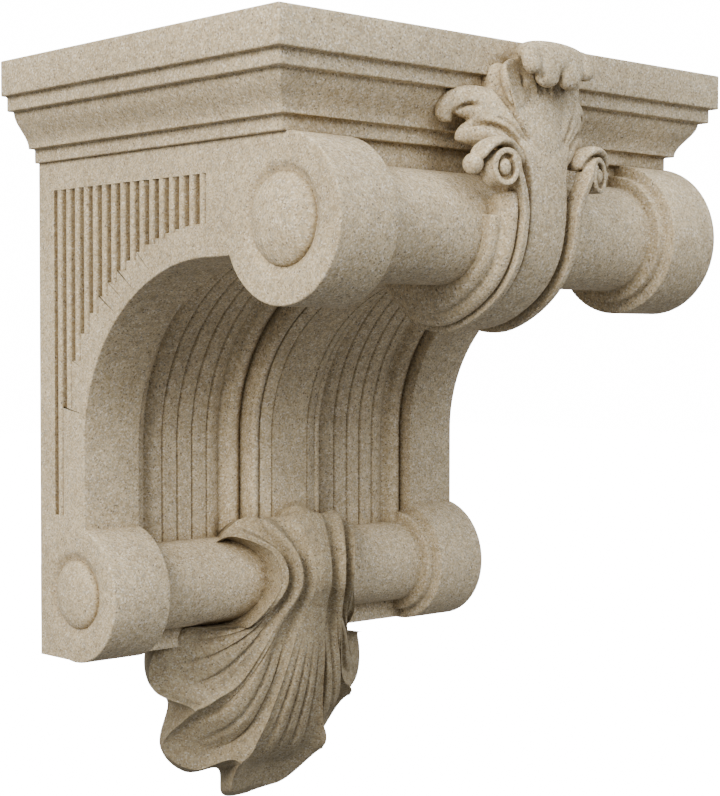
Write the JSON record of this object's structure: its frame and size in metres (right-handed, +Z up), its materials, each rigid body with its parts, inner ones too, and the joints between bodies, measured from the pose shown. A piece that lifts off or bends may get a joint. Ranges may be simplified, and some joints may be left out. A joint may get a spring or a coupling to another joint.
{
  "type": "stone corbel",
  "caption": "Carved stone wall bracket with a moulded cap, a scrolled roll under it, a leaf head, a concave sweep and a shell at its foot.",
  "frame": {"origin": "on the wall face, at the middle of the flat back, half way between the cap's top and the lower roll's underside", "axes": "+Y into the wall, so the corbel's front faces -Y, +X to the right seen from the front, +Z up"},
  "size_m": [0.4, 0.3057, 0.512],
  "materials": {
    "stone": "matte cast stone with a fine sandy speckle"
  },
  "bodies": {
    "root": {"corbel": "stone"}
  },
  "joints": []
}
